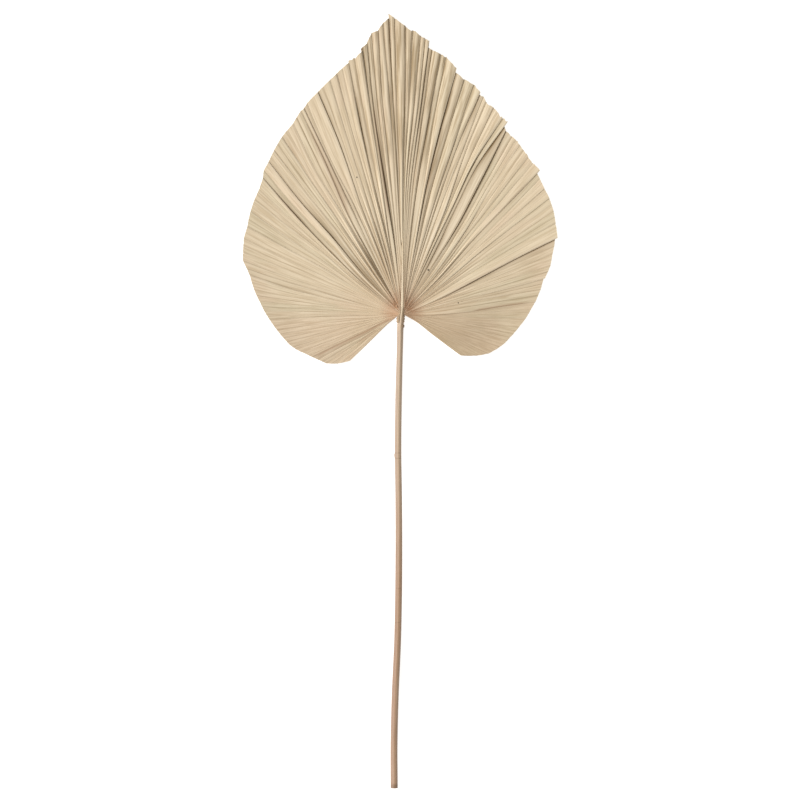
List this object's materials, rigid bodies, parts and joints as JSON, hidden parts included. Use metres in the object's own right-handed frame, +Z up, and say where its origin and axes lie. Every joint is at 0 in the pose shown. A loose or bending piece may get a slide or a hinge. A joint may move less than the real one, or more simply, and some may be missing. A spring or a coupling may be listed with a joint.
{
  "type": "dried fan palm leaf",
  "caption": "Dried fan palm leaf: a pleated, heart-shaped blade with a pointed tip on a long straight stalk, lying with its midrib side up.",
  "frame": {"origin": "on the surface that the leaf lies on, under the middle of its bounding box", "axes": "+Y along the stalk towards the tip of the blade, +Z up out of the ribbed back, +X to the right seen from above with the tip away"},
  "size_m": [0.4491, 1.0999, 0.0136],
  "materials": {
    "blade": "dry leaf: matt, finely ribbed along the pleats, cream to light tan with pale green-grey and peach areas",
    "stalk": "dry smooth stalk: low sheen, fine lengthwise grain, peach-tan with a darker side"
  },
  "bodies": {
    "root": {"blade": "blade", "stalk": "stalk"}
  },
  "joints": []
}
